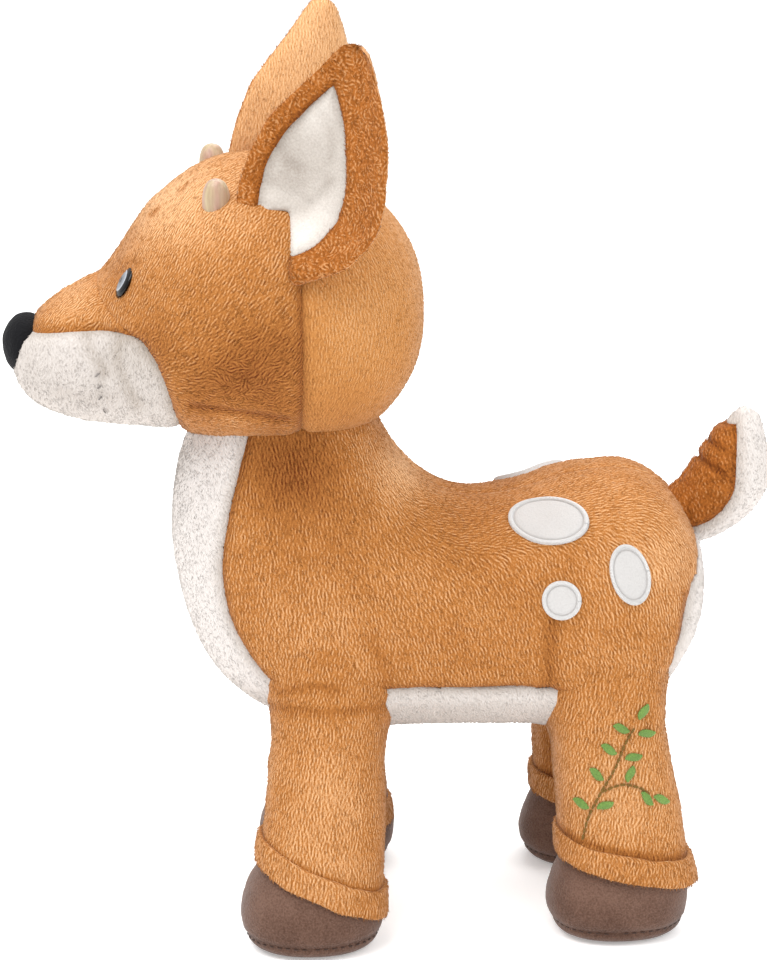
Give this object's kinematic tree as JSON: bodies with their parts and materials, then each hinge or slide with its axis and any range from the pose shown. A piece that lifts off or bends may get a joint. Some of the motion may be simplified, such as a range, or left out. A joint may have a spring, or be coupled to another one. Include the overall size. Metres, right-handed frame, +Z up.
{
  "type": "plush deer",
  "caption": "Standing plush deer with stuffed head, trunk and legs, folding ears, antler buds, a tail and stitched-on spots, as its fabric panels, filling and fittings.",
  "frame": {"origin": "middle of the footprint, on the surface the hoofs stand on", "axes": "+Z up, -Y towards the nose, +X towards the deer's own left side"},
  "size_m": [0.1424, 0.2885, 0.3451],
  "materials": {
    "caramel_minky": "short pile",
    "caramel_minky_smooth": "short smooth pile",
    "ear_minky": "curly short pile",
    "white_plush": "soft pile",
    "white_velour": "velour",
    "white_applique": "felted with satin border",
    "hoof_velour": "velour",
    "nose_velour": "velour",
    "antler_satin": "satin",
    "filling": "polyester fibre",
    "eye_plastic": "polished",
    "washer_plastic": "moulded"
  },
  "bodies": {
    "torso": {"torso_panel_left": "caramel_minky", "torso_panel_right": "caramel_minky", "belly_gusset": "white_plush", "torso_stuffing": "filling", "spot_large_left": "white_applique", "spot_small_left": "white_applique", "spot_rear_left": "white_applique", "spot_large_right": "white_applique", "spot_small_right": "white_applique", "spot_rear_right": "white_applique"},
    "head": {"face_left": "caramel_minky", "face_right": "caramel_minky", "back_head_left": "caramel_minky_smooth", "back_head_right": "caramel_minky_smooth", "eye_left": "eye_plastic", "eye_right": "eye_plastic", "eye_washer_left": "washer_plastic", "eye_washer_right": "washer_plastic", "antler_left": "antler_satin", "antler_right": "antler_satin", "muzzle_top": "caramel_minky", "jaw": "white_plush", "nose": "nose_velour", "head_stuffing": "filling"},
    "left_ear": {"ear_left": "ear_minky", "ear_lining_left": "white_velour"},
    "right_ear": {"ear_right": "ear_minky", "ear_lining_right": "white_velour"},
    "tail": {"tail_top": "ear_minky", "tail_underside": "white_plush", "tail_stuffing": "filling"},
    "front_left_leg": {"leg_skin_front_left": "caramel_minky", "cuff_front_left": "caramel_minky", "hoof_front_left": "hoof_velour", "sole_front_left": "hoof_velour", "leg_stuffing_front_left": "filling"},
    "front_right_leg": {"leg_skin_front_right": "caramel_minky", "cuff_front_right": "caramel_minky", "hoof_front_right": "hoof_velour", "sole_front_right": "hoof_velour", "leg_stuffing_front_right": "filling"},
    "hind_left_leg": {"leg_skin_hind_left": "caramel_minky", "cuff_hind_left": "caramel_minky", "hoof_hind_left": "hoof_velour", "sole_hind_left": "hoof_velour", "leg_stuffing_hind_left": "filling"},
    "hind_right_leg": {"leg_skin_hind_right": "caramel_minky", "cuff_hind_right": "caramel_minky", "hoof_hind_right": "hoof_velour", "sole_hind_right": "hoof_velour", "leg_stuffing_hind_right": "filling"}
  },
  "joints": [
    {"name": "neck_nod", "type": "hinge", "parent": "torso", "child": "head", "pos_m": [0, -0.042, 0.232], "axis": [1, 0, 0], "range_deg": [-8, 8], "stiffness_Nm_per_rad": 0.8},
    {"name": "left_ear_fold", "type": "hinge", "parent": "head", "child": "left_ear", "pos_m": [0.04393, -0.04375, 0.27159], "axis": [0.5773, 0.7423, -0.3402], "range_deg": [-20, 20], "stiffness_Nm_per_rad": 0.02},
    {"name": "right_ear_fold", "type": "hinge", "parent": "head", "child": "right_ear", "pos_m": [-0.04393, -0.04368, 0.27183], "axis": [0.5773, -0.7692, 0.2742], "range_deg": [-20, 20], "stiffness_Nm_per_rad": 0.02},
    {"name": "tail_lift", "type": "hinge", "parent": "torso", "child": "tail", "pos_m": [0, 0.1105, 0.1535], "axis": [1, 0, 0], "range_deg": [-20, 20], "stiffness_Nm_per_rad": 0.02},
    {"name": "front_left_leg_swing", "type": "hinge", "parent": "torso", "child": "front_left_leg", "pos_m": [0.031, -0.0252, 0.0835], "axis": [1, 0, 0], "range_deg": [-12, 12], "stiffness_Nm_per_rad": 1.5},
    {"name": "front_right_leg_swing", "type": "hinge", "parent": "torso", "child": "front_right_leg", "pos_m": [-0.031, -0.0252, 0.0835], "axis": [1, 0, 0], "range_deg": [-12, 12], "stiffness_Nm_per_rad": 1.5},
    {"name": "hind_left_leg_swing", "type": "hinge", "parent": "torso", "child": "hind_left_leg", "pos_m": [0.033, 0.0802, 0.0835], "axis": [1, 0, 0], "range_deg": [-12, 12], "stiffness_Nm_per_rad": 1.5},
    {"name": "hind_right_leg_swing", "type": "hinge", "parent": "torso", "child": "hind_right_leg", "pos_m": [-0.033, 0.0802, 0.0835], "axis": [1, 0, 0], "range_deg": [-12, 12], "stiffness_Nm_per_rad": 1.5}
  ]
}
